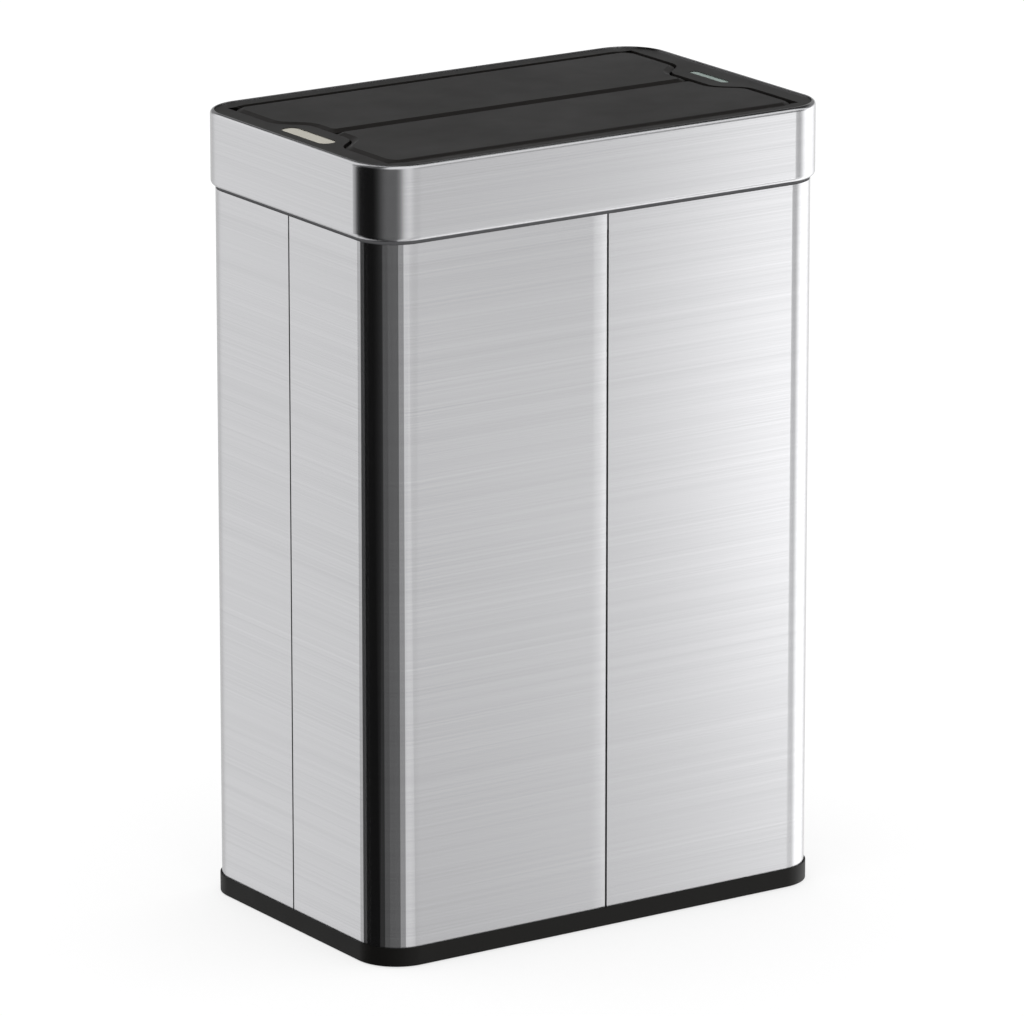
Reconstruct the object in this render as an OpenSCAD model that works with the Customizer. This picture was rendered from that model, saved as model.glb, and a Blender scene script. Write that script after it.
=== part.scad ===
// Freestanding two-bucket waste and recycling station with a lift-off powered head.
// Frame: +Z up, +Y to the back, X along the width. Origin on the floor, under the middle.

/* [Overall] */
// Width over the collar
overall_w = 455; // [400:1:560]
// Depth over the collar
overall_d = 289; // [270:1:360]
// Height from the floor to the top of the collar
overall_h = 686; // [560:1:820]

/* [Shell] */
// Thickness of the stainless shell panels
panel_sheet = 0.8; // [0.6:0.1:1.2]
// Gap between two panels at each seam
seam_gap = 1.8; // [1.2:0.1:3]
// Height of the dark shadow line under the collar
shadow_gap = 2.7; // [1.5:0.1:5]
// Width of the strip that joins two panels behind a seam
strip_w = 26; // [16:1:40]

/* [Base] */
// Height of the base tray's rim
base_h = 16; // [12:1:28]
// How far the base tray stands out past the shell
base_proud = 1.5; // [1.2:0.1:4]
// Radius of a foot
foot_r = 12; // [8:1:16]
// How far the feet lift the base tray off the floor
foot_proud = 1; // [0.6:0.1:3]

/* [Collar] */
// Height of the stainless collar
collar_h = 64; // [58:1:90]
// How far the collar stands out past the shell
collar_proud = 4; // [3:0.1:6]
// Thickness of the collar's sheet
collar_sheet = 1; // [0.8:0.1:1.4]
// Radius of the collar's upright corners
collar_r = 40; // [36:1:56]
// Radius of the roll at the collar's top edge
top_roll = 3.5; // [2.5:0.1:5]
// Radius of the roll at the collar's bottom edge
bottom_roll = 4; // [3:0.1:5]

/* [Doors] */
// Deck border beside the doors' ends
border_x = 22.5; // [21:0.5:30]
// Deck border in front of and behind the doors
border_y = 17; // [16:0.5:24]
// Running gap between a door and the deck
door_gap = 2; // [1.5:0.1:3]
// Gap between the two doors
split_gap = 2; // [1:0.1:3]
// Depth of a door
door_thick = 12; // [11:0.5:14]
// Radius of a door's rounded hinge edge
hinge_edge_r = 8.4; // [8:0.1:10]
// How far the doors step back round each sensor housing
notch_depth = 23; // [18:1:24]
// Half the width of the step at its inner end
notch_half = 33; // [26:1:40]
// How far the doors open
door_open = 74; // [60:1:74]

/* [Buckets] */
// Room above a bail that stands upright, under the head
bail_room = 15.2; // [3:0.1:40]
// Wall thickness of the buckets
bucket_wall = 2.2; // [1.6:0.1:3]
// Length of a bail from its pivot to its grip
bail_reach = 80; // [60:1:80]
// Radius of the bail's wire
wire_r = 2.2; // [1.8:0.1:2.4]

/* [Sensor and drive] */
// Length of the sensor lens
lens_l = 68; // [50:1:70]
// Width of the sensor lens
lens_w = 16; // [10:1:17]
// Length of the status lens
status_l = 52; // [30:1:60]
// Width of the status lens
status_w = 8; // [5:0.5:12]
// Radius of the hinge pins
pin_r = 2.5; // [2:0.1:3]
// Tooth size of the door drive
gear_module = 1; // [0.9:0.05:1.1]

/* [Hidden] */
$fn = 96;

// Clearances
slip = 0.1;            // parts of one body that nest
running = 0.05;        // a pin or shaft in its bore
rest_gap = 0.3;        // a part that lies on another body
seat = 0.02;           // a pin pressed in its hole
weld = 0.5;            // overlap that makes one solid of two
past = 1;              // how far a cut runs past the face it opens

// Heights
collar_z = overall_h - collar_h;
panel_top = collar_z - shadow_gap;
base_plate = 3;
base_floor = foot_proud + base_plate;
base_top = foot_proud + base_h;
deck_top = overall_h - 1.2;
deck_plate = 3.5;
deck_under = deck_top - deck_plate;
door_top = overall_h - 0.6;
door_under = door_top - door_thick;
hinge_z = door_top - hinge_edge_r;
ledge_plate = 2.5;
ledge_top = hinge_z - hinge_edge_r - 0.6;
ledge_under = ledge_top - ledge_plate;
tray_plate = 2.5;
tray_under = collar_z + collar_sheet + 0.2;
tray_top = tray_under + tray_plate;

// Plan sizes of the shell
body_w = overall_w - 2 * collar_proud;
body_d = overall_d - 2 * collar_proud;
body_r = collar_r - collar_proud;
inner_w = body_w - 2 * panel_sheet;
inner_d = body_d - 2 * panel_sheet;
inner_r = body_r - panel_sheet;
strip_plate = 1.4;
ring_wall = 2.4;
ring_recess = 0.8;
ring_skirt = 14;
foot_in = 40;            // from the shell's faces to the middle of a foot
foot_x = body_w / 2 - foot_in;
foot_y = body_d / 2 - foot_in;
foot_pocket = 2;
tread_w = 1;
tread_depth = 0.5;

// Plan sizes of the head
deck_inset = top_roll + slip;
return_flange = 3;
tray_inset = bottom_roll + 0.2;
open_x = overall_w / 2 - border_x;
open_y = overall_d / 2 - border_y;
door_x = open_x - door_gap;
door_y = open_y - door_gap;
notch_x = door_x - notch_depth;
notch_out = notch_half + 20;
hinge_y = door_y - hinge_edge_r;
throat_x = notch_x - 4;
throat_y = hinge_y - 3;
throat_r = 16;
throat_wall = 2.5;
deck_wall = 2;
lip_wall = 2;
lip_drop = 11;
lip_w = inner_w - 2 * (slip + ring_wall + 2.4);
lip_d = inner_d - 2 * (slip + ring_wall + 2.4);
lip_r = inner_r - (slip + ring_wall + 2.4);

// Door outlines: corner points, counter-clockwise, with a radius for each corner
door_r = 18;
step_r = 20;
split_r = 9;
door_corners = [
    [-door_x, -door_y], [door_x, -door_y], [door_x, -notch_out], [notch_x, -notch_half],
    [notch_x, -split_gap / 2], [-notch_x, -split_gap / 2],
    [-notch_x, -notch_half], [-door_x, -notch_out],
];
door_radii = [door_r, door_r, step_r, step_r, split_r, split_r, step_r, step_r];
open_corners = [
    [-door_x, -door_y], [door_x, -door_y], [door_x, -notch_out], [notch_x, -notch_half],
    [notch_x, notch_half], [door_x, notch_out], [door_x, door_y], [-door_x, door_y],
    [-door_x, notch_out], [-notch_x, notch_half], [-notch_x, -notch_half], [-door_x, -notch_out],
];
open_radii = [door_r, door_r, step_r, step_r, step_r, step_r, door_r, door_r,
              step_r, step_r, step_r, step_r];
bevel_w = 5.5;
bevel_h = 2.4;
skin_t = 2.8;            // top skin of a door
door_end = door_x - door_r + sqrt(pow(door_r, 2) - pow(door_r - hinge_edge_r, 2));
pin_hole_l = 22;
pocket_x = throat_x - 6;
pocket_front = -hinge_y + 10;
pocket_back = -split_gap / 2 - 7;

// Drive
sector_teeth = 24;
pinion_teeth = 16;
pressure = 20;
backlash = 0.16;
sector_r = gear_module * sector_teeth / 2;
pinion_r = gear_module * pinion_teeth / 2;
pinion_z = hinge_z - sector_r - pinion_r;
gear_w = 5;
gear_x = overall_w / 2 - 17;      // inner face of the gears, measured from the middle
hub_r = 4.1;
shaft_r = 2;
lug_x = gear_x - 1;
lug_l = 30;
sweep_gap = 1.8;         // room for the doors' corners as they turn
lug_back = hinge_edge_r + sweep_gap + 1.6;
gearbox_x = gear_x - 1.4;
gearbox_l = 28;
gearbox_h = 26;
gearbox_top = ledge_under - 1.5;
motor_z = gearbox_top - gearbox_h / 2;
gearbox_front = hinge_y + 15;
gearbox_d = 34;
flange_t = 3;            // between the gearbox and the motor's can
shaft_hole = 12;
can_r = 10;
can_l = 32;
can_x = gearbox_x - gearbox_l / 2;

// Screw columns between the tray and the deck
column_y = (open_y + deck_wall + overall_d / 2 - deck_inset) / 2;
column_r = 3.6;
column_xs = [-0.27 * overall_w, 0, 0.27 * overall_w];
screw_r = 1.5;
screw_head_r = 2.8;
screw_head_h = 1.8;
screw_in = 14;
pad_h = 2;

// Sensor housings
lens_x = overall_w / 2 - 24;
status_x = overall_w / 2 - 27;
lens_plate = 2;
lens_flange = 1.5;
lens_sunk = 0.3;
lens_round = 0.44;       // corner radius as a share of the width
board_t = 1.6;
board_z = deck_under - 9.5;
board_l = 64;
board_w = 27;
standoff_r = 2.2;
small_r = 0.88;          // screws that hold the boards
small_head_r = 1.9;
standoff_x = lens_x - lens_w / 2 - 2 - standoff_r;
standoff_y = 27;
board_x = standoff_x - 3.4 + board_w / 2;

// Batteries, under the front right of the deck
cell_r = 7.25;
cell_l = 50.5;
box_wall = 1.6;
box_w = 4 * cell_r + 2 * box_wall + 1;
box_l = cell_l + 2 * box_wall + 3;
box_x = throat_x + throat_wall + 2 + box_w / 2;
box_y = -(overall_d / 2 - collar_r - box_l / 2);
cover_gap = 0.3;

// Control board, under the back left of the deck
control_w = 28;
control_l = 64;
control_x = -(throat_x + throat_wall + 3 + control_w / 2);
control_y = hinge_y - 24;
control_z = tray_top + 12;

// Power switch, in the back of the collar
switch_w = 22;
switch_h = 15;
switch_d = 9;
switch_x = column_xs[0] - column_r - switch_w / 2 - 2;
switch_z = collar_z + collar_h / 2;
switch_face = overall_d / 2 - 0.2;
slot_h = 6;
slot_d = 4;
knob_l = 5;
switch_travel = 5;
slot_l = knob_l + switch_travel + 1;

// Buckets
bucket_clear = 8;
bucket_half_gap = 3;
bucket_lip = 6;
bucket_w = inner_w / 2 - bucket_clear - bucket_half_gap;
bucket_d = inner_d - 2 * bucket_clear;
bucket_x = bucket_half_gap + bucket_w / 2;
bucket_r = 26;
bucket_lip_h = 4;
grip_r = 6.5;
bucket_rim = tray_under - bail_room - bail_reach - grip_r - wire_r - rest_gap;
ear_t = 2.6;
ear_half = 7;
ear_above = 6;
bail_y = bucket_d / 2 - ear_t - 0.5 - wire_r - rest_gap;
bail_z = bucket_rim + wire_r + rest_gap;
bail_bend = 12;
grip_l = 92;

// ---------- shapes that repeat ----------

function unit(v) = v / norm(v);

// Points of one rounded corner b between a and c, moved inwards by inset.
function corner_arc(a, b, c, r, inset, steps) =
    let (
        u = unit(a - b),
        v = unit(c - b),
        half = acos(u * v) / 2,
        centre = b + unit(u + v) * r / sin(half),
        from = b + u * r / tan(half) - centre,
        to = b + v * r / tan(half) - centre,
        a1 = atan2(from.y, from.x),
        turn = (atan2(to.y, to.x) - a1 + 540) % 360 - 180,
        radius = turn > 0 ? r - inset : r + inset
    )
    [for (k = [0 : steps]) centre + radius * [cos(a1 + turn * k / steps), sin(a1 + turn * k / steps)]];

// A closed outline with rounded corners, moved inwards by inset.
function rounded(corners, radii, inset = 0, steps = 8) =
    let (n = len(corners))
    [for (i = [0 : n - 1])
        each corner_arc(corners[(i + n - 1) % n], corners[i], corners[(i + 1) % n],
                        radii[i], inset, steps)];

// Sweeps a closed section, given as [inset, z] points, round a rounded outline.
module swept_ring(corners, radii, section, steps = 8) {
    rings = [for (p = section) [for (q = rounded(corners, radii, p.x, steps)) [q.x, q.y, p.y]]];
    n = len(rings[0]);
    m = len(section);
    polyhedron(
        points = [for (r = rings) each r],
        faces = [for (j = [0 : m - 1], i = [0 : n - 1], side = [0, 1])
            let (a = j * n + i, b = j * n + (i + 1) % n,
                 c = (j + 1) % m * n + (i + 1) % n, d = (j + 1) % m * n + i)
            side == 0 ? [a, b, c] : [a, c, d]]
    );
}

module rounded_rect(w, d, r) {
    square([w - 2 * r, d], center = true);
    square([w, d - 2 * r], center = true);
    for (x = [-1, 1], y = [-1, 1])
        translate([x * (w / 2 - r), y * (d / 2 - r)]) circle(r);
}

module slab(w, d, r, z0, z1) {
    translate([0, 0, z0]) linear_extrude(z1 - z0) rounded_rect(w, d, r);
}

// A tube with rounded corners, from its outer size inwards.
module tube(w, d, r, wall, z0, z1) {
    translate([0, 0, z0]) linear_extrude(z1 - z0) difference() {
        rounded_rect(w, d, r);
        rounded_rect(w - 2 * wall, d - 2 * wall, r - wall);
    }
}

module box(x0, x1, y0, y1, z0, z1) {
    translate([x0, y0, z0]) cube([x1 - x0, y1 - y0, z1 - z0]);
}

// A cylinder along X, from x0 to x1.
module rod_x(x0, x1, y, z, r) {
    translate([x0, y, z]) rotate([0, 90, 0]) cylinder(h = x1 - x0, r = r);
}

// A cylinder along Y, from y0 to y1.
module rod_y(x, y0, y1, z, r) {
    translate([x, y1, z]) rotate([90, 0, 0]) cylinder(h = y1 - y0, r = r);
}

module post(x, y, z0, z1, r) {
    translate([x, y, z0]) cylinder(h = z1 - z0, r = r);
}

// Draws a section in the plane across X, and gives it a length along X.
module across_x(x0, x1) {
    translate([x0, 0, 0]) rotate([90, 0, 90]) linear_extrude(x1 - x0) children();
}

// The back drive and door are the front ones turned half round.
module turned() {
    rotate([0, 0, 180]) children();
}

// ---------- gears ----------

function involute_angle(phi) = tan(phi) * 180 / PI - phi;

// Half the angle of a tooth at radius r.
function tooth_half(r, teeth) =
    let (pitch_r = gear_module * teeth / 2,
         base_r = pitch_r * cos(pressure),
         phi = acos(min(1, base_r / max(r, base_r))))
    90 / teeth - backlash / 4 / pitch_r * 180 / PI + involute_angle(pressure) - involute_angle(phi);

// The outline of one tooth, pointing along direction at.
function tooth(at, teeth, steps = 6) =
    let (pitch_r = gear_module * teeth / 2,
         root_r = pitch_r - 1.25 * gear_module,
         tip_r = pitch_r + 0.96 * gear_module,
         radii = concat([root_r - 0.4],
                        [for (k = [0 : steps]) let (b = max(root_r, pitch_r * cos(pressure)))
                            b + (tip_r - b) * k / steps]))
    concat(
        [for (r = radii) r * [cos(at - tooth_half(r, teeth)), sin(at - tooth_half(r, teeth))]],
        [for (i = [len(radii) - 1 : -1 : 0]) let (r = radii[i])
            r * [cos(at + tooth_half(r, teeth)), sin(at + tooth_half(r, teeth))]]
    );

// ---------- shell ----------

// One quarter of the shell: two half faces and the corner between them.
module shell_panel(sx, sy) {
    edge = seam_gap / 2;
    color("silver") intersection() {
        tube(body_w, body_d, body_r, panel_sheet, base_floor, panel_top);
        box(sx > 0 ? edge : -body_w, sx > 0 ? body_w : -edge,
            sy > 0 ? edge : -body_d, sy > 0 ? body_d : -edge, 0, overall_h);
    }
}

// The joining strip behind a seam, drawn for a seam in the face at y = -face.
module seam_strip(face) {
    z0 = base_top - 2;
    z1 = panel_top - ring_skirt - weld;
    color("black") {
        box(-strip_w / 2, strip_w / 2, -face + panel_sheet, -face + panel_sheet + strip_plate, z0, z1);
        box(-seam_gap / 2, seam_gap / 2, -face + weld, -face + panel_sheet + 0.2, z0, z1);
    }
}

module top_ring() {
    color("black") {
        tube(inner_w - 2 * slip, inner_d - 2 * slip, inner_r - slip, ring_wall,
             panel_top - ring_skirt, panel_top + 0.01);
        tube(body_w - 2 * ring_recess, body_d - 2 * ring_recess, body_r - ring_recess,
             panel_sheet + slip + ring_wall - ring_recess, panel_top, collar_z - rest_gap);
    }
}

module base_tray() {
    color("black") difference() {
        union() {
            difference() {
                slab(body_w + 2 * base_proud, body_d + 2 * base_proud, body_r + base_proud,
                     foot_proud, base_top);
                slab(body_w + 2 * slip, body_d + 2 * slip, body_r + slip,
                     base_floor, base_top + past);
            }
            tube(inner_w - 2 * slip, inner_d - 2 * slip, inner_r - slip, ring_wall,
                 base_floor - weld, base_top - 3);
        }
        for (x = [-1, 1], y = [-1, 1])
            post(x * foot_x, y * foot_y, 0, foot_proud + foot_pocket, foot_r + slip);
    }
}

module foot(sx, sy) {
    color("dimgray") difference() {
        post(sx * foot_x, sy * foot_y, 0, foot_proud + foot_pocket, foot_r);
        for (r = [foot_r * 0.35, foot_r * 0.7])
            translate([sx * foot_x, sy * foot_y, -past]) difference() {
                cylinder(h = past + tread_depth, r = r);
                cylinder(h = past + tread_depth, r = r - tread_w);
            }
    }
}

// ---------- buckets ----------

// A bucket with a turned-out lip and two ears for its bail. side is -1 left, 1 right.
module bucket(side) {
    body_x = bucket_w - 2 * bucket_lip;
    body_y = bucket_d - 2 * bucket_lip;
    color(side > 0 ? "steelblue" : "dimgray") translate([side * bucket_x, 0, 0]) difference() {
        union() {
            slab(body_x, body_y, bucket_r, base_floor, bucket_rim);
            slab(bucket_w, bucket_d, bucket_r + bucket_lip, bucket_rim - bucket_lip_h, bucket_rim);
            for (s = [-1, 1])
                box(-ear_half, ear_half, s > 0 ? bucket_d / 2 - ear_t : -bucket_d / 2,
                    s > 0 ? bucket_d / 2 : -bucket_d / 2 + ear_t,
                    bucket_rim - weld, bail_z + ear_above);
        }
        slab(body_x - 2 * bucket_wall, body_y - 2 * bucket_wall, bucket_r - bucket_wall,
             base_floor + bucket_wall, bucket_rim + past);
        rod_y(0, -bucket_d, bucket_d, bail_z, wire_r + running);
    }
}

// A wire bail, folded outwards onto its bucket's rim. The bends are a little thicker than the wire.
module bail(side) {
    x0 = side * bucket_x;
    x1 = side * (bucket_x + bail_reach);
    inner = x1 - side * bail_bend;
    into = 1;                // how far the rods run into the bends
    bend_r = wire_r + 0.15;
    color("silver") {
        rod_y(x1, -bail_y + bail_bend - into, bail_y - bail_bend + into, bail_z, wire_r);
        for (s = [-1, 1]) {
            rod_x(min(x0, inner + side * into), max(x0, inner + side * into), s * bail_y, bail_z, wire_r);
            translate([inner, s * (bail_y - bail_bend), bail_z])
                rotate([0, 0, side > 0 ? (s > 0 ? 0 : -90) : (s > 0 ? 90 : 180)])
                    rotate_extrude(angle = 90) translate([bail_bend, 0]) circle(bend_r);
            rod_y(x0, s > 0 ? bail_y : -bucket_d / 2, s > 0 ? bucket_d / 2 : -bail_y,
                  bail_z, wire_r - 0.1);
        }
    }
}

module bail_grip(side) {
    rib_h = 0.8;
    rib_pitch = 10;
    rib_w = 6;
    x1 = side * (bucket_x + bail_reach);
    color("black") difference() {
        union() {
            rod_y(x1, -grip_l / 2, grip_l / 2, bail_z, grip_r - rib_h);
            for (k = [-4 : 4])
                rod_y(x1, k * rib_pitch - rib_w / 2, k * rib_pitch + rib_w / 2, bail_z, grip_r);
        }
        rod_y(x1, -grip_l, grip_l, bail_z, wire_r + seat);
    }
}

// ---------- head ----------

// The band's outline, moved inwards by inset. It is closed on the inside at x = back.
module band_outline(inset, back) {
    translate([top_roll, overall_h - top_roll]) circle(top_roll - inset);
    translate([bottom_roll, collar_z + bottom_roll]) circle(bottom_roll - inset);
    translate([inset, collar_z + bottom_roll])
        square([back - inset, overall_h - top_roll - collar_z - bottom_roll]);
    translate([bottom_roll, collar_z + inset]) square([back - bottom_roll, bottom_roll]);
}

// Section of the stainless band, as [inset, z]: both edges are rolled inwards.
module band_section() {
    intersection() {
        difference() {
            band_outline(0, bottom_roll + return_flange);
            band_outline(collar_sheet, bottom_roll + return_flange + 1);
        }
        union() {
            translate([0, collar_z]) square([top_roll, collar_h]);
            translate([0, collar_z]) square([bottom_roll + return_flange, bottom_roll]);
        }
    }
}

// Carries a section round a rectangle with rounded corners: four bends and four straights.
module carried_round(w, d, r) {
    for (k = [0 : 3]) {
        half_x = (k % 2 == 0 ? w : d) / 2;
        half_y = (k % 2 == 0 ? d : w) / 2;
        rotate([0, 0, 90 * k]) {
            translate([half_x - r, half_y - r, 0]) rotate_extrude(angle = 90)
                translate([r, 0]) mirror([1, 0]) children();
            translate([half_x, half_y - r, 0]) rotate([90, 0, 0])
                linear_extrude(2 * (half_y - r)) mirror([1, 0]) children();
        }
    }
}

module collar() {
    color("silver") difference() {
        carried_round(overall_w, overall_d, collar_r) band_section();
        box(switch_x - switch_w / 2, switch_x + switch_w / 2,
            overall_d / 2 - collar_sheet - past, overall_d / 2 + past,
            switch_z - switch_h / 2, switch_z + switch_h / 2);
    }
}

module door_opening(inset, z0, z1) {
    translate([0, 0, z0]) linear_extrude(z1 - z0) polygon(rounded(open_corners, open_radii, inset));
}

// The black deck: border, stepped seat for the doors, hinge lugs, screw columns and standoffs.
module deck_frame() {
    color("#3b3a38") difference() {
        union() {
            slab(overall_w - 2 * deck_inset, overall_d - 2 * deck_inset, collar_r - deck_inset,
                 deck_under, deck_top);
            door_opening(-door_gap - deck_wall, ledge_under, deck_under + weld);
            for (x = [-1, 1], y = [-1, 1]) {
                box(x > 0 ? lug_x - lug_l : -lug_x, x > 0 ? lug_x : -lug_x + lug_l,
                    y > 0 ? hinge_y - 6 : -hinge_y - lug_back, y > 0 ? hinge_y + lug_back : -hinge_y + 6,
                    ledge_top - weld, deck_under + weld);
                post(x * standoff_x, y * standoff_y, board_z + board_t, deck_under + weld, standoff_r);
            }
            for (x = column_xs, y = [-1, 1])
                post(x, y * column_y, tray_top + pad_h, deck_under + weld, column_r);
        }
        door_opening(-door_gap, ledge_top, overall_h + past);
        for (y = [-1, 1])
            rod_x(-door_x - door_gap, door_x + door_gap, y * hinge_y, hinge_z, hinge_edge_r + sweep_gap);
        slab(2 * throat_x, 2 * throat_y, throat_r, 0, overall_h);
        for (y = [-1, 1])
            rod_x(-lug_x - past, lug_x + past, y * hinge_y, hinge_z, pin_r + running);
        for (x = column_xs, y = [-1, 1])
            post(x, y * column_y, 0, tray_top + pad_h + screw_in + 2, screw_r);
        for (x = [-1, 1], y = [-1, 1])
            post(x * standoff_x, y * standoff_y, 0, deck_under - 1, small_r + seat);
        translate([-lens_x, 0, 0]) lens_plug(lens_w, lens_l, slip, past);
        translate([status_x, 0, 0]) lens_plug(status_w, status_l, slip, past);
    }
}

// The part of a lens that fills its window in the deck.
module lens_plug(w, l, grow, above) {
    slab(w + 2 * grow, l + 2 * grow, w * lens_round + grow,
         deck_under - above, deck_top - lens_sunk + above);
}

module lens(x, w, l) {
    color(x < 0 ? "#c9c5b6" : "#9fb0a8") translate([x, 0, 0]) {
        lens_plug(w, l, 0, 0);
        slab(w + 2 * lens_flange, l + 2 * lens_flange, w * lens_round + lens_flange,
             deck_under - lens_plate, deck_under);
    }
}

// A printed board under a lens, hung from the deck's standoffs.
module lens_board(side) {
    color("darkgreen") difference() {
        box(side > 0 ? board_x - board_w / 2 : -board_x - board_w / 2,
            side > 0 ? board_x + board_w / 2 : -board_x + board_w / 2,
            -board_l / 2, board_l / 2, board_z, board_z + board_t);
        for (y = [-1, 1]) post(side * standoff_x, y * standoff_y, 0, overall_h, small_r + 0.22);
    }
}

module board_screws() {
    color("silver") for (x = [-1, 1], y = [-1, 1]) {
        post(x * standoff_x, y * standoff_y, board_z - 1.2, board_z, small_head_r);
        post(x * standoff_x, y * standoff_y, board_z - weld, board_z + 6, small_r);
    }
}

module ir_pair() {
    half_apart = 13;
    can_h = 3;
    dome_r = 2.2;
    z = board_z + board_t;
    color("purple") for (y = [-1, 1]) {
        post(-lens_x, y * half_apart, z, z + can_h, 2.5);
        translate([-lens_x, y * half_apart, z + can_h]) intersection() {
            sphere(dome_r);
            box(-dome_r, dome_r, -dome_r, dome_r, 0, dome_r);
        }
    }
}

module status_leds() {
    color("white") for (y = [-16, 0, 16])
        box(status_x - 1.4, status_x + 1.4, y - 1.8, y + 1.8, board_z + board_t, board_z + board_t + 1.2);
}

// The moulding that closes the collar from below and walls off the mouth.
module drive_tray() {
    w = overall_w - 2 * tray_inset;
    d = overall_d - 2 * tray_inset;
    color("#2c2b2a") difference() {
        union() {
            slab(w, d, collar_r - tray_inset, tray_under, tray_top);
            slab(2 * (throat_x + throat_wall), 2 * (throat_y + throat_wall), throat_r + throat_wall,
                 tray_top - weld, ledge_under);
            tube(lip_w, lip_d, lip_r, lip_wall, tray_under - lip_drop, tray_under + weld);
            for (x = column_xs, y = [-1, 1])
                post(x, y * column_y, tray_top - weld, tray_top + pad_h, column_r);
            for (turn = [0, 180], y = [7, gearbox_d - 7])
                rotate([0, 0, turn])
                    post(-can_x, -gearbox_front + y, tray_top - weld, gearbox_top - gearbox_h, 3.5);
            for (y = [-1, 1])
                post(control_x, control_y + y * (control_l / 2 - 6), tray_top - weld, control_z, 3);
        }
        slab(2 * throat_x, 2 * throat_y, throat_r, 0, overall_h);
        for (x = column_xs, y = [-1, 1]) {
            post(x, y * column_y, tray_under - past, tray_under + screw_head_h, screw_head_r + slip);
            post(x, y * column_y, tray_under - past, tray_top + pad_h + past, screw_r + slip);
        }
        box(box_x - box_w / 2, box_x + box_w / 2, box_y - box_l / 2, box_y + box_l / 2,
            tray_under - past, tray_top + past);
    }
}

module head_screws() {
    color("silver") for (x = column_xs, y = [-1, 1]) {
        post(x, y * column_y, tray_under, tray_under + screw_head_h, screw_head_r);
        post(x, y * column_y, tray_under + screw_head_h - weld, tray_top + pad_h + screw_in, screw_r - seat);
    }
}

module control_board() {
    color("darkgreen")
        box(control_x - control_w / 2, control_x + control_w / 2,
            control_y - control_l / 2, control_y + control_l / 2, control_z, control_z + board_t);
}

module control_chips() {
    z = control_z + board_t;
    color("#222222") {
        box(control_x - 6, control_x + 6, control_y - 6, control_y + 6, z, z + 1.8);
        box(control_x - 11, control_x + 1, control_y + 16, control_y + 26, z, z + 9);
        box(control_x - 11, control_x + 1, control_y - 28, control_y - 18, z, z + 9);
        post(control_x + 8, control_y + 20, z, z + 8, 3.2);
    }
}

// ---------- door drive, drawn for the front door at the left ----------

module gear_motor() {
    x0 = -gearbox_x;
    y0 = -gearbox_front;
    color("#202020") difference() {
        union() {
            box(x0, x0 + gearbox_l, y0, y0 + gearbox_d, gearbox_top - gearbox_h, gearbox_top);
            box(x0 + 3, x0 + gearbox_l - 3, y0 + gearbox_d - weld, y0 + gearbox_d + flange_t,
                gearbox_top - gearbox_h + 3, gearbox_top - 2);
        }
        rod_x(x0 - past, x0 + shaft_hole, -hinge_y, pinion_z, shaft_r + running);
        for (z = [-8, 8]) rod_x(x0 - past, x0 + 3, y0 + gearbox_d - 5, motor_z + z, 1.2);
    }
}

module motor_can() {
    y0 = -gearbox_front + gearbox_d + flange_t;
    color("lightgray") {
        rod_y(-can_x, y0, y0 + can_l, motor_z, can_r);
        rod_y(-can_x, y0 + can_l - weld, y0 + can_l + 2.5, motor_z, 3.2);
    }
}

module pinion() {
    color("ivory") {
        across_x(-gear_x - gear_w, -gear_x) translate([-hinge_y, pinion_z]) {
            circle(pinion_r - 1.3 * gear_module);
            for (k = [0 : pinion_teeth - 1])
                polygon(tooth(90 + 360 / pinion_teeth * (k + 0.5), pinion_teeth));
        }
        rod_x(-gear_x - weld, -gearbox_x + shaft_hole - 1, -hinge_y, pinion_z, shaft_r);
    }
}

// The toothed sector on the end of the door's left hinge pin.
module door_gear() {
    step = 360 / sector_teeth;
    root = sector_r - 1.25 * gear_module;
    behind = ceil(door_open / step);
    from = -90 - (behind + 0.5) * step;
    sweep = (behind + 2) * step;
    color("ivory") difference() {
        across_x(-gear_x - gear_w, -gear_x) translate([-hinge_y, hinge_z]) {
            circle(hub_r);
            polygon(concat([[0, 0]], [for (k = [0 : 24]) root * [cos(from + sweep * k / 24),
                                                                sin(from + sweep * k / 24)]]));
            for (k = [-behind : 1]) polygon(tooth(-90 + k * step, sector_teeth));
        }
        rod_x(-gear_x - gear_w - past, -gear_x + past, -hinge_y, hinge_z, pin_r + seat);
    }
}

// ---------- doors, drawn for the front one ----------

module door() {
    section = [[-past, door_top - bevel_h * (1 + past / bevel_w)], [bevel_w, door_top],
               [bevel_w, door_top + past], [-past, door_top + past]];
    color("#403f3c") difference() {
        intersection() {
            translate([0, 0, door_under]) linear_extrude(door_thick)
                polygon(rounded(door_corners, door_radii));
            union() {
                box(-overall_w, overall_w, -hinge_y, overall_d, 0, overall_h);
                rod_x(-overall_w, overall_w, -hinge_y, hinge_z, hinge_edge_r);
            }
        }
        swept_ring(door_corners, door_radii, section);
        box(-pocket_x, pocket_x, pocket_front, pocket_back, door_under - past, door_top - skin_t);
        for (s = [-1, 1])
            rod_x(s > 0 ? door_end - pin_hole_l : -door_x, s > 0 ? door_x : -door_end + pin_hole_l,
                  -hinge_y, hinge_z, pin_r + seat);
    }
}

// The inner panel that closes a door's underside.
module door_liner() {
    land = 1;                // rests on the door round the pocket
    fit = 0.5;               // keeps the plug clear of the pocket's walls
    panel_t = 2.6;
    recess_t = 1.2;
    recess_in = 14;
    pitch = 44;
    y0 = pocket_front - land;
    y1 = pocket_back + land;
    color("#2c2b2a") difference() {
        union() {
            box(-pocket_x - land, pocket_x + land, y0, y1, door_under - panel_t, door_under);
            box(-pocket_x + fit, pocket_x - fit, pocket_front + fit, pocket_back - fit,
                door_under - weld, door_under + 2);
        }
        for (k = [-3 : 3])
            box(k * pitch - recess_in, k * pitch + recess_in, y0 + recess_in, y1 - recess_in,
                door_under - panel_t - past, door_under - panel_t + recess_t);
    }
}

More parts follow.
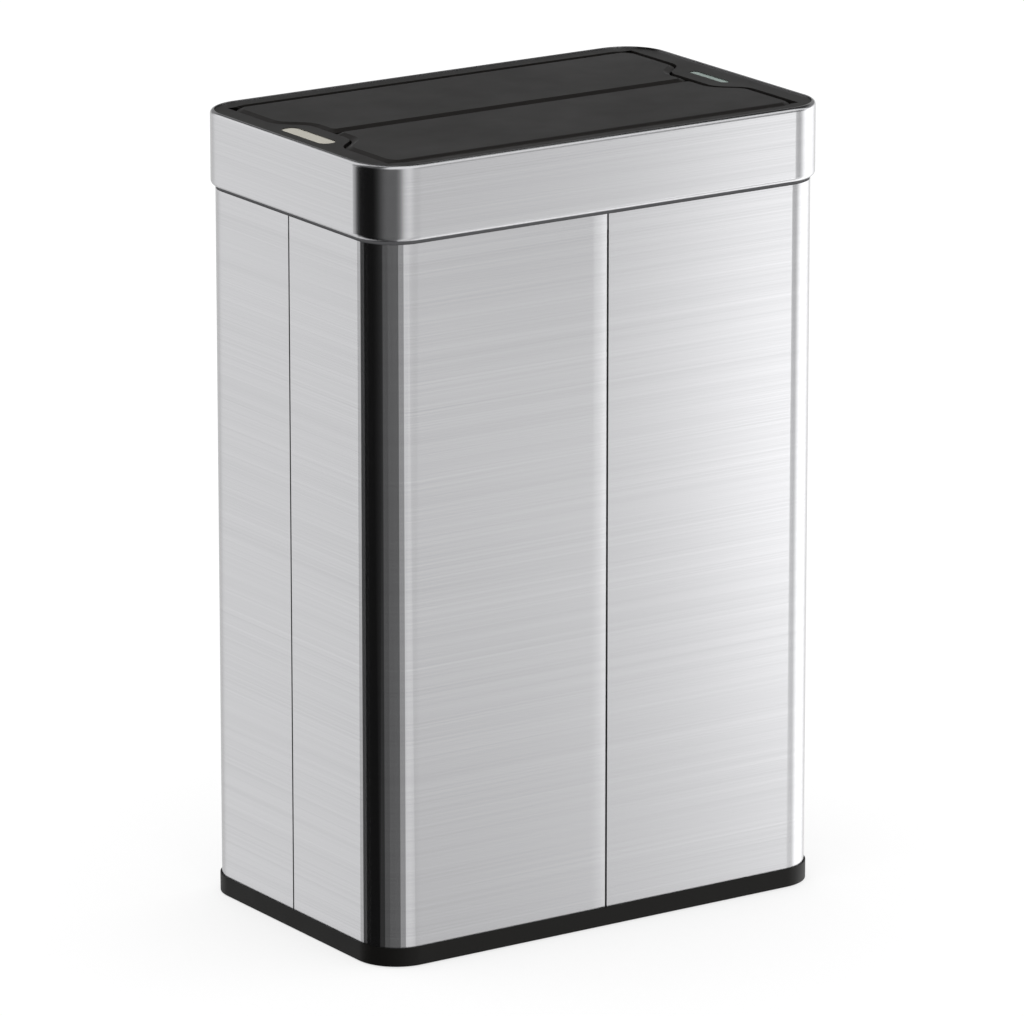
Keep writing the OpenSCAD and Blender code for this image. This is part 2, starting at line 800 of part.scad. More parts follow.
// The left pin runs on through the deck's lug to carry the door's gear.
module hinge_pin(side) {
    inner = door_end - pin_hole_l + 1;
    color("silver")
        rod_x(side < 0 ? -gear_x - gear_w : inner, side < 0 ? -inner : lug_x, -hinge_y, hinge_z, pin_r);
}

module door_bumpers() {
    color("dimgray") for (x = [-1, 1], y = [-1, 1])
        post(x * (throat_x + 13), y * (notch_out + 18), ledge_top, door_under - rest_gap, 4);
}

// ---------- power ----------

module battery_box() {
    inside_top = tray_top + 4 * cell_r + 2;
    color("#202020") translate([box_x, box_y, 0]) difference() {
        box(-box_w / 2, box_w / 2, -box_l / 2, box_l / 2, tray_top, inside_top + box_wall);
        box(-box_w / 2 + box_wall, box_w / 2 - box_wall, -box_l / 2 + box_wall, box_l / 2 - box_wall,
            tray_top - past, inside_top);
    }
}

module batteries() {
    apart = cell_r + 0.2;
    tip_r = 2.6;
    color("goldenrod") for (i = [-1, 1], j = [0, 1]) {
        x = box_x + i * apart;
        z = tray_top + 0.6 + cell_r + j * 2 * apart;
        rod_y(x, box_y - cell_l / 2, box_y + cell_l / 2, z, cell_r);
        rod_y(x, box_y + cell_l / 2 - weld, box_y + cell_l / 2 + 1, z, tip_r);
    }
}

module battery_cover() {
    w = box_w - 2 * cover_gap;
    l = box_l - 2 * cover_gap;
    color("#2c2b2a") translate([box_x, box_y, 0]) difference() {
        box(-w / 2, w / 2, -l / 2, l / 2, tray_under, tray_top - cover_gap);
        for (y = [-6, 0, 6])
            box(-7, 7, y - 1, y + 1, tray_under - past, tray_under + 0.8);
    }
}

module switch_bezel() {
    color("#202020") translate([switch_x, 0, switch_z]) difference() {
        box(-switch_w / 2 + slip, switch_w / 2 - slip, switch_face - switch_d, switch_face,
            -switch_h / 2 + slip, switch_h / 2 - slip);
        box(-slot_l / 2, slot_l / 2, switch_face - slot_d, switch_face + past, -slot_h / 2, slot_h / 2);
    }
}

module power_switch() {
    x0 = switch_x - (knob_l + switch_travel) / 2;
    face = switch_face - 0.3;
    color("firebrick") difference() {
        box(x0, x0 + knob_l, switch_face - slot_d + rest_gap, face,
            switch_z - slot_h / 2 + rest_gap, switch_z + slot_h / 2 - rest_gap);
        for (x = [0.9, 2.2, 3.5])
            box(x0 + x, x0 + x + 0.6, face - 0.5, face + past, switch_z - 2, switch_z + 2);
    }
}

// ---------- nodes ----------

shell_panel(-1, -1);  // panel_front_left
shell_panel(1, -1);  // panel_front_right
shell_panel(-1, 1);  // panel_back_left
shell_panel(1, 1);  // panel_back_right
seam_strip(body_d / 2);  // seam_strip_front
rotate([0, 0, 180]) seam_strip(body_d / 2);  // seam_strip_back
rotate([0, 0, -90]) seam_strip(body_w / 2);  // seam_strip_left
rotate([0, 0, 90]) seam_strip(body_w / 2);  // seam_strip_right
top_ring();
base_tray();
foot(-1, -1);  // foot_front_left
foot(1, -1);  // foot_front_right
foot(-1, 1);  // foot_back_left
foot(1, 1);  // foot_back_right
bucket(-1);  // bucket_left
bucket(1);  // bucket_right
bail(-1);  // bail_left
bail(1);  // bail_right
bail_grip(-1);  // bail_grip_left
bail_grip(1);  // bail_grip_right
collar();
deck_frame();
drive_tray();
head_screws();
lens(-lens_x, lens_w, lens_l);  // sensor_lens
lens(status_x, status_w, status_l);  // status_lens
lens_board(-1);  // sensor_board
lens_board(1);  // status_board
board_screws();
ir_pair();
status_leds();
control_board();
control_chips();
gear_motor();  // gear_motor_front
turned() gear_motor();  // gear_motor_back
motor_can();  // motor_can_front
turned() motor_can();  // motor_can_back
door();  // front_door
door_liner();  // front_door_liner
hinge_pin(-1);  // front_hinge_pin_left
hinge_pin(1);  // front_hinge_pin_right
door_gear();  // front_door_gear
turned() door();  // back_door
turned() door_liner();  // back_door_liner
turned() hinge_pin(1);  // back_hinge_pin_left
turned() hinge_pin(-1);  // back_hinge_pin_right
turned() door_gear();  // back_door_gear
pinion();  // pinion_front
turned() pinion();  // pinion_back
door_bumpers();
battery_box();
batteries();
battery_cover();
switch_bezel();
power_switch();
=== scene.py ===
"""Looks of a free-standing, touch-free waste and recycling bin.

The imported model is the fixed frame: this script gives its nodes their finishes, adds the pieces
that are shaped by mesh work, and sets up the camera, the floor and the light. Lengths are metres.
"""

from __future__ import annotations

import logging
import math
from dataclasses import dataclass, field
from enum import Enum
from typing import Any, Callable, Sequence

import bpy
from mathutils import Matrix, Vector

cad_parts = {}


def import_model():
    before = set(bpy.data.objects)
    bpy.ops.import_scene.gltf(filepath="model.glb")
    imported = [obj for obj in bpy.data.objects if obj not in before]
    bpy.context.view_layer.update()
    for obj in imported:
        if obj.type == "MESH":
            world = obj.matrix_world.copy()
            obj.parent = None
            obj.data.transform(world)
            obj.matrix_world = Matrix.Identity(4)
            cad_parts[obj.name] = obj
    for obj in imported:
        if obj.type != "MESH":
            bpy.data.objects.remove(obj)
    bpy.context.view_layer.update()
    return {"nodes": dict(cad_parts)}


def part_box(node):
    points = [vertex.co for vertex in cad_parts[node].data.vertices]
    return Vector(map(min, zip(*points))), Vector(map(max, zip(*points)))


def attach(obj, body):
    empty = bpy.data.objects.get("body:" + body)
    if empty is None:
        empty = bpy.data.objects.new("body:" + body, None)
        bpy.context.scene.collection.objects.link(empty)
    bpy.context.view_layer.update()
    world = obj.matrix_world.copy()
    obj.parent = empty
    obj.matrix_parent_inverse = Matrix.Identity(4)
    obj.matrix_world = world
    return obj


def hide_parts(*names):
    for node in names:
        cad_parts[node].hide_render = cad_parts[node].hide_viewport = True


LOG = logging.getLogger("bin")
MM = 0.001
TOUCH = MM / 10
UP = Vector((0.0, 0.0, 1.0))
DOWN = Vector((0.0, 0.0, -1.0))
BACK = Vector((0.0, 1.0, 0.0))
RIGHT = Vector((1.0, 0.0, 0.0))
WHITE = (1.0, 1.0, 1.0, 1.0)

Piece = bpy.types.Object
Tree = bpy.types.NodeTree
Node = bpy.types.Node
Socket = bpy.types.NodeSocket
Point = Sequence[float]
Span = tuple[float, float]
Stops = Sequence[Span]
Test = Callable[[Vector, Vector], bool]


# ---------- colour and nodes ----------


def linear(hex_colour: str) -> tuple[float, float, float, float]:
    """Turn an sRGB hex colour into linear light.

    Args:
        hex_colour: six hex digits, with or without a leading #.

    Returns:
        Red, green, blue and an alpha of 1, ready for a shader's socket.
    """
    digits = hex_colour.lstrip("#")
    parts = [int(digits[i : i + 2], 16) / 255 for i in (0, 2, 4)]
    red, green, blue = [p / 12.92 if p <= 0.04045 else ((p + 0.055) / 1.055) ** 2.4 for p in parts]
    return red, green, blue, 1.0


def add_node(
    tree: Tree,
    kind: str,
    settings: dict[str, Any] | None = None,
    links: dict[str | int, Socket] | None = None,
) -> Node:
    """Add a node, with its settings and what feeds its inputs.

    Args:
        tree: the node tree that gets the node.
        kind: the node's type, such as ShaderNodeTexNoise.
        settings: values by name. A name that is one of the node's own properties sets that, and any
            other name, or an index, sets the input that it names.
        links: output sockets by the name or index of the input that each feeds.

    Returns:
        The new node.
    """
    node = tree.nodes.new(kind)
    for name, value in (settings or {}).items():
        if isinstance(name, str) and hasattr(node, name):
            setattr(node, name, value)
        else:
            node.inputs[name].default_value = value
    for name, socket in (links or {}).items():
        tree.links.new(socket, node.inputs[name])
    return node


def ramp(tree: Tree, source: Socket, stops: Stops) -> Socket:
    """Turn a value into another along straight lines between stops.

    Args:
        tree: the node tree.
        source: the value to look up, from 0 to 1.
        stops: pairs of position and grey level, in rising order.

    Returns:
        The ramp's colour output.
    """
    node = add_node(tree, "ShaderNodeValToRGB", links={"Fac": source})
    elements = node.color_ramp.elements
    while len(elements) < len(stops):
        elements.new(0.5)
    for element, (position, level) in zip(elements, stops):
        element.position = position
        element.color = (level, level, level, 1.0)
    return node.outputs["Color"]


def stretch(tree: Tree, source: Socket, given: Span, wanted: Span = (0.0, 1.0)) -> Socket:
    """Turn a value between two given ones into one between two wanted ones, and no further.

    Args:
        tree: the node tree.
        source: the value.
        given: the values that become the wanted ones.
        wanted: what they become.

    Returns:
        The node's result.
    """
    node = add_node(
        tree,
        "ShaderNodeMapRange",
        {"From Min": given[0], "From Max": given[1], "To Min": wanted[0], "To Max": wanted[1]},
        {"Value": source},
    )
    return node.outputs["Result"]


NOISE_SPAN = (0.3, 0.7)


@dataclass(frozen=True)
class Finish:
    """What every finish has: its name, its colour and how it meets the light."""

    name: str
    colour: str
    roughness: float = 0.5
    metallic: float = 0.0
    ior: float = 1.5
    specular: float = 0.5

    def material(self) -> bpy.types.Material:
        """Make the material, with its shader fed by this finish's pattern."""
        made = bpy.data.materials.new(self.name)
        made.use_nodes = True
        tree = made.node_tree
        tree.nodes.clear()
        shader = add_node(
            tree,
            "ShaderNodeBsdfPrincipled",
            {
                "Base Color": linear(self.colour),
                "Roughness": self.roughness,
                "Metallic": self.metallic,
                "IOR": self.ior,
                "Specular IOR Level": self.specular,
            },
        )
        add_node(tree, "ShaderNodeOutputMaterial", links={"Surface": shader.outputs["BSDF"]})
        self.pattern(tree, shader)
        return made

    def pattern(self, tree: Tree, shader: Node) -> None:
        """Feed the shader's colour, roughness and normal. Each kind of finish has its own."""

    def noise(self, tree: Tree, spacing_mm: Point, detail: float = 2.0) -> Socket:
        """Noise on the piece's own coordinates.

        Args:
            tree: the node tree.
            spacing_mm: the size of one blotch along X, Y and Z, in millimetres.
            detail: how many finer layers it has.

        Returns:
            The noise's value output, around 0.5.
        """
        place = add_node(tree, "ShaderNodeTexCoord").outputs["Object"]
        scaled = add_node(
            tree,
            "ShaderNodeMapping",
            {"Scale": tuple(1 / (MM * s) for s in spacing_mm)},
            {"Vector": place},
        )
        node = add_node(
            tree,
            "ShaderNodeTexNoise",
            {"Scale": 1.0, "Detail": detail, "Roughness": 0.6},
            {"Vector": scaled.outputs["Vector"]},
        )
        return node.outputs["Fac"]

    def shaded(self, tree: Tree, shader: Node, factor: Socket, darker: str) -> None:
        """Mix the finish's colour with a darker one by factor, and feed it to the shader."""
        mixed = add_node(
            tree,
            "ShaderNodeMix",
            {"data_type": "RGBA", 6: linear(self.colour), 7: linear(darker)},
            {0: factor},
        )
        tree.links.new(mixed.outputs[2], shader.inputs["Base Color"])

    def bumped(self, tree: Tree, shader: Node, height: Socket, depth_mm: float) -> None:
        """Feed a bump to the shader, depth_mm high where height is 1."""
        bump = add_node(
            tree, "ShaderNodeBump", {"Strength": 1.0, "Distance": depth_mm * MM}, {"Height": height}
        )
        tree.links.new(bump.outputs["Normal"], shader.inputs["Normal"])


@dataclass(frozen=True)
class BrushedStainless(Finish):
    """Stainless sheet, belt-brushed along its length: the grain blurs reflections upright only.

    The real scratches are about 0.1 mm apart. They are drawn coarser, so that they show.
    """

    grain_mm: float = 0.75
    grain_length_mm: float = 900.0
    grain_depth_mm: float = 0.0003
    band_mm: float = 9.0
    band_share: float = 0.35
    grain_span: Span = (0.35, 0.65)
    gloss_spread: float = 0.01
    darker: str = "c9c9cb"
    anisotropy: float = 0.82
    quarter_turn: float = 0.25

    def pattern(self, tree: Tree, shader: Node) -> None:
        """Horizontal scratches in the colour, the roughness and the normal."""
        along = self.grain_length_mm
        fine = self.noise(tree, (along, along, self.grain_mm), 2.0)
        broad = self.noise(tree, (along, along, self.band_mm), 2.0)
        both = add_node(
            tree,
            "ShaderNodeMix",
            {"data_type": "FLOAT", 0: self.band_share},
            {2: fine, 3: broad},
        )
        factor = stretch(tree, both.outputs[0], self.grain_span)
        self.shaded(tree, shader, factor, self.darker)
        dull, spread = self.roughness, self.gloss_spread
        rough = stretch(tree, fine, NOISE_SPAN, (dull - spread, dull + spread))
        tree.links.new(rough, shader.inputs["Roughness"])
        self.bumped(tree, shader, fine, self.grain_depth_mm)
        shader.inputs["Anisotropic"].default_value = self.anisotropy
        shader.inputs["Anisotropic Rotation"].default_value = self.quarter_turn
        tangent = add_node(tree, "ShaderNodeTangent", {"direction_type": "RADIAL", "axis": "Z"})
        tree.links.new(tangent.outputs["Tangent"], shader.inputs["Tangent"])


@dataclass(frozen=True)
class MouldedPlastic(Finish):
    """Injection-moulded plastic with a spark-eroded grain, a little uneven in its gloss."""

    grain_mm: float = 0.9
    grain_depth_mm: float = 0.03
    darker: str = "1c1b1a"
    blotch_mm: float = 60.0
    blotch: float = 0.25

    def pattern(self, tree: Tree, shader: Node) -> None:
        """A fine grain in the normal, and broad blotches in the colour and the gloss."""
        grain = self.noise(tree, (self.grain_mm,) * 3, 1.0)
        blotches = self.noise(tree, (self.blotch_mm,) * 3, 3.0)
        factor = stretch(tree, blotches, NOISE_SPAN, (0.0, self.blotch))
        self.shaded(tree, shader, factor, self.darker)
        glossy, dull = self.roughness - 0.03, self.roughness + 0.03
        rough = stretch(tree, blotches, NOISE_SPAN, (glossy, dull))
        tree.links.new(rough, shader.inputs["Roughness"])
        self.bumped(tree, shader, grain, self.grain_depth_mm)


@dataclass(frozen=True)
class TurnedMetal(Finish):
    """Plated or drawn metal: smooth, with faint marks and a slightly uneven plate."""

    mark_mm: float = 2.0
    darker: str = "8c8c8e"

    def pattern(self, tree: Tree, shader: Node) -> None:
        """Faint blotches in the colour and the gloss."""
        marks = self.noise(tree, (self.mark_mm,) * 3, 3.0)
        self.shaded(tree, shader, stretch(tree, marks, NOISE_SPAN, (0.0, 0.5)), self.darker)
        glossy, dull = self.roughness - 0.04, self.roughness + 0.06
        rough = stretch(tree, marks, NOISE_SPAN, (glossy, dull))
        tree.links.new(rough, shader.inputs["Roughness"])


class Stock(Enum):
    """The finishes of the bin, by what each is made of."""

    # Stainless sheet, belt-brushed sideways: a pale, soft sheen that is streaked up and down.
    SHEET = BrushedStainless("brushed_stainless_sheet", "d2d2d4", 0.22, 1.0)
    # Moulded charcoal ABS with a satin grain: nearly black face on, and greyer at a low angle.
    DECK = MouldedPlastic("moulded_charcoal_abs", "1b1815", 0.42, darker="181512")
    # Moulded black ABS with a spark-eroded matt grain: a deep black that hardly reflects.
    MOULDING = MouldedPlastic("moulded_black_abs", "11100e", 0.5, specular=0.16, darker="0d0c0b")
    # The ring under the collar, black moulding in truth, coloured mid grey here: painted shade, the
    # soft grey tone of the shadow gap under the collar, the only place it shows.
    RING = MouldedPlastic("ring_grey_painted_shade", "5a5a5c", 0.6, specular=0.3, darker="525254")
    # Black powder coat on the seam strips: matt and even, so that the seams read as dark lines.
    BACKING = MouldedPlastic(
        "black_powder_coat", "161616", 0.6, specular=0.2, darker="0c0c0c", grain_mm=0.5
    )
    # Moulded rubber: dull, soft black with no highlight.
    RUBBER = MouldedPlastic("moulded_black_rubber", "2a2a2a", 0.8, darker="1a1a1a", ior=1.52)
    # Injection-moulded polypropylene in grey: waxy, with a broad, weak highlight.
    WASTE = MouldedPlastic("moulded_grey_polypropylene", "6a6c6f", 0.45, darker="5f6164", ior=1.49)
    # The same in blue, the colour that marks the bucket for recycling.
    RECYCLING = MouldedPlastic(
        "moulded_blue_polypropylene", "1f5c9c", 0.45, darker="1b518a", ior=1.49
    )
    # Zinc-plated steel wire and screws: bright, a little cloudy.
    PLATED = TurnedMetal("zinc_plated_steel", "c4c5c8", 0.28, 1.0)
    # Deep-drawn, nickel-plated motor can: brighter and smoother than the wire.
    CAN = TurnedMetal("drawn_motor_can", "b4b4b6", 0.32, 1.0)
    # Natural acetal gears: creamy white with a slick, even gloss.
    ACETAL = MouldedPlastic("natural_acetal", "e2ded0", 0.35, darker="d6d2c2", ior=1.48)
    # Green solder mask over glass epoxy: dark, glossy green.
    BOARD = MouldedPlastic("green_solder_mask", "1c5a34", 0.35, darker="124226", ior=1.55)
    # Moulded chip epoxy: flat grey-black.
    CHIP = MouldedPlastic("moulded_chip_epoxy", "1a1a1a", 0.6, darker="101010")
    # Shrink wrap on the cells: plain, glossy amber film with no print.
    CELL = MouldedPlastic("battery_shrink_wrap", "b08a2c", 0.3, darker="9c7822", grain_depth_mm=0.0)
    # Milky polycarbonate over the infrared pair: warm, pale and glossy.
    SENSOR = MouldedPlastic(
        "milky_sensor_polycarbonate", "c9c5b9", 0.22, darker="bfbbae", grain_depth_mm=0.002
    )
    # Smoked polycarbonate over the lamps: greenish grey, glossy.
    STATUS = MouldedPlastic(
        "smoked_status_polycarbonate", "93a29c", 0.2, darker="8a9993", grain_depth_mm=0.002
    )
    # Tinted epoxy of the infrared pair: nearly black, with a purple cast.
    TINTED = MouldedPlastic(
        "tinted_infrared_epoxy", "2a1030", 0.1, darker="1c0a22", grain_depth_mm=0.0
    )
    # Milky epoxy of the lamps: white and soft.
    LAMP = MouldedPlastic("milky_lamp_epoxy", "e8e8e2", 0.3, darker="dcdcd4", grain_depth_mm=0.0)
    # Polished red ABS of the power knob: saturated, with a tight highlight.
    KNOB = MouldedPlastic("polished_red_abs", "a81c1c", 0.25, darker="901414", grain_depth_mm=0.005)


class Wardrobe:
    """Makes each material once, and dresses pieces in them."""

    def __init__(self) -> None:
        """Start with no material made."""
        self.made: dict[Stock, bpy.types.Material] = {}

    def get(self, stock: Stock) -> bpy.types.Material:
        """Return the material of a finish, and make it the first time."""
        if stock not in self.made:
            self.made[stock] = stock.value.material()
        return self.made[stock]

    def dress(self, piece: Piece, stock: Stock) -> None:
        """Give a piece one material all over."""
        material = self.get(stock)
        if not piece.material_slots:
            piece.data.materials.append(material)
        for slot in piece.material_slots:
            slot.material = material


# ---------- the studio ----------


@dataclass(frozen=True)
class Card:
    """A card that hangs over the tent's cloth.

    Attributes:
        level: its brightness.
        where: how much of it there is, by degrees round from +X.
        rise: the heights between which it fades in.
    """

    level: float
    where: Stops
    rise: Span


BEHIND = ((0, 1.0), (92, 1.0), (104, 0.0), (330, 0.0), (344, 1.0), (359.9, 1.0))
# Dims the foot of the front's right half.
LOW_CARD = Card(
    0.95,
    ((0, 0.0), (303.5, 0.0), (306, 1.0), (324, 1.0), (330, 0.0), (359.9, 0.0)),
    (-0.6, -0.85),
)
# Makes the deck charcoal at a low angle.
DECK_CARD = Card(0.28, BEHIND, (0.8, 1.05))
# Keeps what looks up nearly black.
ROOF_CARD = Card(0.04, BEHIND, (2.0, 2.5))
# Draws a faint dark line under the collar's rim.
LINE_CARD = Card(
    0.2,
    (
        (0, 0.0), (272, 0.0), (286, 0.5), (301, 0.5), (305, 1.0), (322, 1.0), (334, 0.0),
        (359.9, 0.0),
    ),
    (0.25, 0.5),
)
# Lights the collar's rim, in front and at the sides.
RIM_CARD = Card(
    1.1,
    (
        (0, 0.0), (96, 0.0), (106, 1.0), (136, 1.0), (146, 0.1), (205, 0.1), (220, 1.0),
        (326, 1.0), (340, 0.0), (359.9, 0.0),
    ),
    (1.5, 2.0),
)


@dataclass
class Studio:
    """The camera, the floor and the light tent."""

    aim: Vector = field(default_factory=lambda: Vector((-0.0011, 0.0007, 0.3347)))
    distance: float = 6.973
    azimuth_deg: float = -33.77
    elevation_deg: float = 15.46
    focal_px: float = 8208.8
    frame_px: float = 1024.0
    sensor_mm: float = 36.0
    view_end: float = 60.0
    floor_size: float = 24.0
    floor_colour: str = "a4a4a4"
    floor_rough: float = 0.9
    floor_glow: float = 0.68
    tent_radius: float = 3.0
    tent_low: float = -4.0
    tent_high: float = 4.0
    tent_sides: int = 128
    tent_scale: float = 2.5
    # How bright the cloth is, by degrees round from +X.
    cloth: Stops = (
        (0, 1.8), (14, 1.4), (25, 0.9), (50, 0.8), (62, 0.7), (100, 0.7), (116, 0.95),
        (128.5, 0.98), (132, 0.8), (138, 0.35), (143, 0.1), (150, 0.02), (156, 0.008),
        (190, 0.008), (199, 0.035), (210, 0.11), (218, 0.15), (241, 0.15), (250, 0.3),
        (258, 0.75), (268, 0.95), (297, 1.05), (302, 1.08), (304, 1.1), (305, 1.32),
        (306, 1.85), (306.8, 2.5), (310.5, 2.5), (313, 1.0), (319, 0.8), (331, 1.8), (347, 1.9),
    )
    # The cloth in front dims with height, by the share of the way between the two heights.
    dimmed_between: Span = (-1.0, 0.6)
    dimming: Stops = (
        (0.0, 0.62), (0.14, 0.69), (0.31, 0.95), (0.44, 1.0), (0.5, 0.95), (0.52, 0.68),
        (1.0, 0.78),
    )
    dimmed: Stops = ((0, 0.0), (272, 0.0), (284, 1.0), (325, 1.0), (345, 0.0), (359.9, 0.0))
    cards: tuple[Card, ...] = (LOW_CARD, DECK_CARD, ROOF_CARD, LINE_CARD, RIM_CARD)

    def camera(self) -> None:
        """Place the camera and make it the scene's."""
        azimuth = math.radians(self.azimuth_deg)
        elevation = math.radians(self.elevation_deg)
        flat = math.cos(elevation)
        away = Vector((math.sin(azimuth) * flat, -math.cos(azimuth) * flat, math.sin(elevation)))
        data = bpy.data.cameras.new("camera")
        data.sensor_width = self.sensor_mm
        data.lens = self.focal_px / self.frame_px * self.sensor_mm
        data.clip_end = self.view_end
        camera = bpy.data.objects.new("camera", data)
        camera.location = self.aim + away * self.distance
        camera.rotation_euler = (-away).to_track_quat("-Z", "Y").to_euler()
        bpy.context.scene.collection.objects.link(camera)
        bpy.context.scene.camera = camera

    def floor(self) -> None:
        """Lay a light table: pale opal acrylic that glows, so that shadows stay faint."""
        bpy.ops.mesh.primitive_plane_add(size=self.floor_size)
        floor = bpy.context.object
        floor.name = "floor"
        floor.visible_glossy = False
        material = bpy.data.materials.new("lit_opal_acrylic_floor")
        material.use_nodes = True
        shader = material.node_tree.nodes["Principled BSDF"]
        shader.inputs["Base Color"].default_value = linear(self.floor_colour)
        shader.inputs["Roughness"].default_value = self.floor_rough
        shader.inputs["Specular IOR Level"].default_value = 0.0
        shader.inputs["Emission Color"].default_value = WHITE
        shader.inputs["Emission Strength"].default_value = self.floor_glow
        floor.data.materials.append(material)

    def tent(self) -> None:
        """Stand a light tent round the bin: only shiny surfaces see it."""
        bpy.ops.mesh.primitive_cylinder_add(
            vertices=self.tent_sides,
            radius=self.tent_radius,
            depth=self.tent_high - self.tent_low,
            location=(0, 0, (self.tent_high + self.tent_low) / 2),
        )
        tent = bpy.context.object
        tent.name = "light_tent"
        bpy.ops.object.transform_apply(location=True, rotation=False, scale=False)
        tent.visible_camera = False
        tent.visible_diffuse = False
        tent.visible_shadow = False
        tent.visible_transmission = False
        tent.data.materials.append(self.lit_cloth())

    def lit_cloth(self) -> bpy.types.Material:
        """Make the tent's glowing cloth, brighter and darker round the bin and by height."""
        material = bpy.data.materials.new("light_tent_cloth")
        material.use_nodes = True
        tree = material.node_tree
        tree.nodes.clear()
        place = add_node(tree, "ShaderNodeTexCoord").outputs["Object"]
        split = add_node(tree, "ShaderNodeSeparateXYZ", links={0: place})
        height = split.outputs["Z"]
        angle = add_node(
            tree,
            "ShaderNodeMath",
            {"operation": "ARCTAN2"},
            {0: split.outputs["Y"], 1: split.outputs["X"]},
        )
        turn = add_node(
            tree, "ShaderNodeMath", {"operation": "DIVIDE", 1: 2 * math.pi}, {0: angle.outputs[0]}
        )
        wrapped = add_node(
            tree, "ShaderNodeMath", {"operation": "FLOORED_MODULO", 1: 1.0}, {0: turn.outputs[0]}
        )
        around = wrapped.outputs[0]
        level = self.by_degrees(tree, around, self.cloth, self.tent_scale)
        share = stretch(tree, height, self.dimmed_between)
        mixed = add_node(
            tree,
            "ShaderNodeMix",
            {"data_type": "RGBA", "blend_type": "MULTIPLY"},
            {
                0: self.by_degrees(tree, around, self.dimmed),
                6: level,
                7: ramp(tree, share, self.dimming),
            },
        )
        level = mixed.outputs[2]
        for card in self.cards:
            level = self.hang(tree, around, height, level, card)
        glow = add_node(tree, "ShaderNodeEmission", {"Strength": self.tent_scale}, {"Color": level})
        add_node(tree, "ShaderNodeOutputMaterial", links={"Surface": glow.outputs[0]})
        return material

    def by_degrees(self, tree: Tree, around: Socket, stops: Stops, scale: float = 1.0) -> Socket:
        """Look up stops in degrees by a share of a turn. scale keeps the ramp's levels under 1."""
        return ramp(tree, around, [(degrees / 360, level / scale) for degrees, level in stops])

    def hang(self, tree: Tree, around: Socket, height: Socket, level: Socket, card: Card) -> Socket:
        """Hang one more card over the tent's cloth.

        Args:
            tree: the cloth's node tree.
            around: how far round the tent a point is, from 0 to 1.
            height: the point's height.
            level: the brightness under the card.
            card: the card.

        Returns:
            The brightness with the card.
        """
        share = add_node(
            tree,
            "ShaderNodeMath",
            {"operation": "MULTIPLY"},
            {0: self.by_degrees(tree, around, card.where), 1: stretch(tree, height, card.rise)},
        )
        grey = card.level / self.tent_scale
        mixed = add_node(
            tree,
            "ShaderNodeMix",
            {"data_type": "RGBA", 7: (grey, grey, grey, 1.0)},
            {0: share.outputs[0], 6: level},
        )
        return mixed.outputs[2]

    def world(self) -> None:
        """Fill the room with even white light."""
        world = bpy.data.worlds.new("white_room")
        world.use_nodes = True
        background = world.node_tree.nodes["Background"]
        background.inputs["Color"].default_value = WHITE
        background.inputs["Strength"].default_value = 1.0
        bpy.context.scene.world = world
        bpy.context.scene.view_settings.view_transform = "Standard"


# ---------- the workbench ----------


def facing(direction: Vector) -> Test:
    """Make the test that passes the faces that look in a direction."""
    return lambda centre, normal: normal.dot(direction) > 0.99


def running(direction: Vector) -> Test:
    """Make the test that passes the edges that run along a direction, either way."""
    return lambda centre, along: abs(along.dot(direction)) > 0.9


def level_with(direction: Vector, at: float) -> Test:
    """Make the test that passes what lies at one distance along a direction."""
    return lambda centre, along: abs(centre.dot(direction) - at) < TOUCH


def anything(centre: Vector, normal: Vector) -> bool:
    """Pass every face."""
    return True


